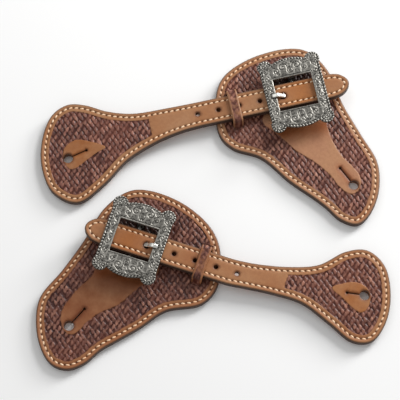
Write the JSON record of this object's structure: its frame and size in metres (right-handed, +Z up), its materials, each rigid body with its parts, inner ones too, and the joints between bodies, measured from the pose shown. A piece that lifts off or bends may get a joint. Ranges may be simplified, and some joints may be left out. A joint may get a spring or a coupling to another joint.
{
  "type": "pair of spur straps",
  "caption": "Pair of tooled western leather spur straps, each a buckle panel and a billet with a paddle end, joined through an engraved cart buckle.",
  "frame": {"origin": "centre of the pair's bounding box, on the surface that the straps lie on", "axes": "+X along the longest side of the pair, towards the right strap's buckle panel; +Y from the left strap to the right strap; +Z up off the surface, out of the tooled face"},
  "size_m": [0.2496, 0.2443, 0.0181],
  "materials": {
    "tooled_leather": "basket-stamped and antiqued dark brown field with a smooth tan border and island, waxed",
    "strap_leather": "smooth tan vegetable-tanned leather, waxed, with a stamped dark field on the paddle",
    "lining_leather": "plain tan lining, burnished dark at the edges",
    "chape_leather": "plain brown leather",
    "thread": "waxed cream thread",
    "buckle_silver": "antiqued silver plate, engraved, dark in the recesses",
    "tongue_steel": "bright plain steel",
    "rivet_brass": "dull brass"
  },
  "bodies": {
    "right_panel": {"right_panel_top": "tooled_leather", "right_bridge": "tooled_leather", "right_panel_lining": "lining_leather", "right_panel_seam": "thread", "right_panel_back_seam": "thread", "right_chape": "chape_leather", "right_chape_rivets": "rivet_brass"},
    "right_billet": {"right_billet_top": "strap_leather", "right_billet_lining": "lining_leather", "right_billet_seam": "thread", "right_billet_back_seam": "thread"},
    "right_buckle": {"right_buckle_frame": "buckle_silver", "right_buckle_bar": "tongue_steel"},
    "right_tongue": {"right_buckle_tongue": "tongue_steel"},
    "left_panel": {"left_panel_top": "tooled_leather", "left_bridge": "tooled_leather", "left_panel_lining": "lining_leather", "left_panel_seam": "thread", "left_panel_back_seam": "thread", "left_chape": "chape_leather", "left_chape_rivets": "rivet_brass"},
    "left_billet": {"left_billet_top": "strap_leather", "left_billet_lining": "lining_leather", "left_billet_seam": "thread", "left_billet_back_seam": "thread"},
    "left_buckle": {"left_buckle_frame": "buckle_silver", "left_buckle_bar": "tongue_steel"},
    "left_tongue": {"left_buckle_tongue": "tongue_steel"}
  },
  "joints": [
    {"name": "right_billet_pull", "type": "slide", "parent": "right_panel", "child": "right_billet", "axis": [0.9766, 0.2111, 0.0409], "range_m": [0, 0.0098]},
    {"name": "right_buckle_rock", "type": "hinge", "parent": "right_panel", "child": "right_buckle", "pos_m": [0.06064, 0.08255, 0.00549], "axis": [-0.2113, 0.9774, 0], "range_deg": [0, 1.3]},
    {"name": "right_tongue_lift", "type": "hinge", "parent": "right_buckle", "child": "right_tongue", "pos_m": [0.06064, 0.08255, 0.00549], "axis": [-0.2113, 0.9774, 0], "range_deg": [0, 51.3]},
    {"name": "left_billet_pull", "type": "slide", "parent": "left_panel", "child": "left_billet", "axis": [-0.9523, 0.3021, 0.0442], "range_m": [0, 0.0098]},
    {"name": "left_buckle_rock", "type": "hinge", "parent": "left_panel", "child": "left_buckle", "pos_m": [-0.05586, -0.03124, 0.00587], "axis": [-0.3024, -0.9532, 0], "range_deg": [0, 1.3]},
    {"name": "left_tongue_lift", "type": "hinge", "parent": "left_buckle", "child": "left_tongue", "pos_m": [-0.05586, -0.03124, 0.00587], "axis": [-0.3024, -0.9532, 0], "range_deg": [0, 51.3]},
    {"name": "left_strap_lift", "type": "slide", "parent": "right_panel", "child": "left_panel", "axis": [0, 0, 1], "range_m": [0, 0.06]}
  ],
  "couplings": [
    {"joint": "right_tongue_lift", "follows": "right_billet_pull", "rad_per_m": 91.327},
    {"joint": "left_tongue_lift", "follows": "left_billet_pull", "rad_per_m": 91.327}
  ]
}
